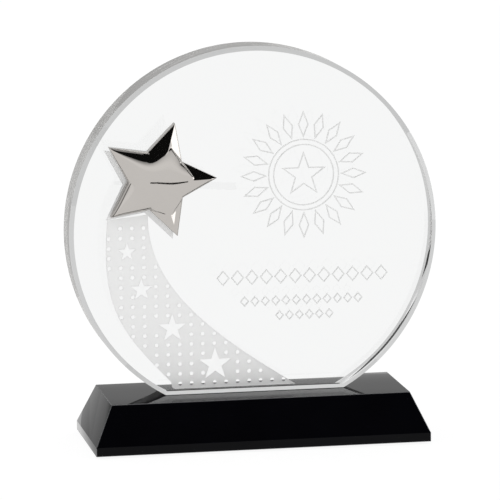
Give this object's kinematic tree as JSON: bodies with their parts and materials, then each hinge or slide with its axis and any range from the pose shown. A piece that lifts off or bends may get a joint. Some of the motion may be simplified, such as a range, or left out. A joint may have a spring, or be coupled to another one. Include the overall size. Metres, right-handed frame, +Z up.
{
  "type": "crystal award",
  "caption": "Round clear crystal award on a black crystal plinth, with a cast metal star, a frosted comet tail and a frosted medallion.",
  "frame": {"origin": "on the surface the award stands on, under the middle of the plinth", "axes": "+X to the right seen from the front, +Y to the back, +Z up"},
  "size_m": [0.165, 0.062, 0.1772],
  "materials": {
    "black_crystal": "polished black crystal",
    "clear_crystal": "polished clear crystal, sand-blasted where it is frosted",
    "clear_adhesive": "clear cured adhesive",
    "polished_metal": "mirror-polished plated casting",
    "foam_tape": "white foam mounting tape",
    "clear_rubber": "clear soft polyurethane"
  },
  "bodies": {
    "root": {"plinth": "black_crystal", "crystal_disc": "clear_crystal", "disc_bond": "clear_adhesive", "metal_star": "polished_metal", "star_tape_pad": "foam_tape", "foot_front_left": "clear_rubber", "foot_front_right": "clear_rubber", "foot_rear_left": "clear_rubber", "foot_rear_right": "clear_rubber"}
  },
  "joints": []
}
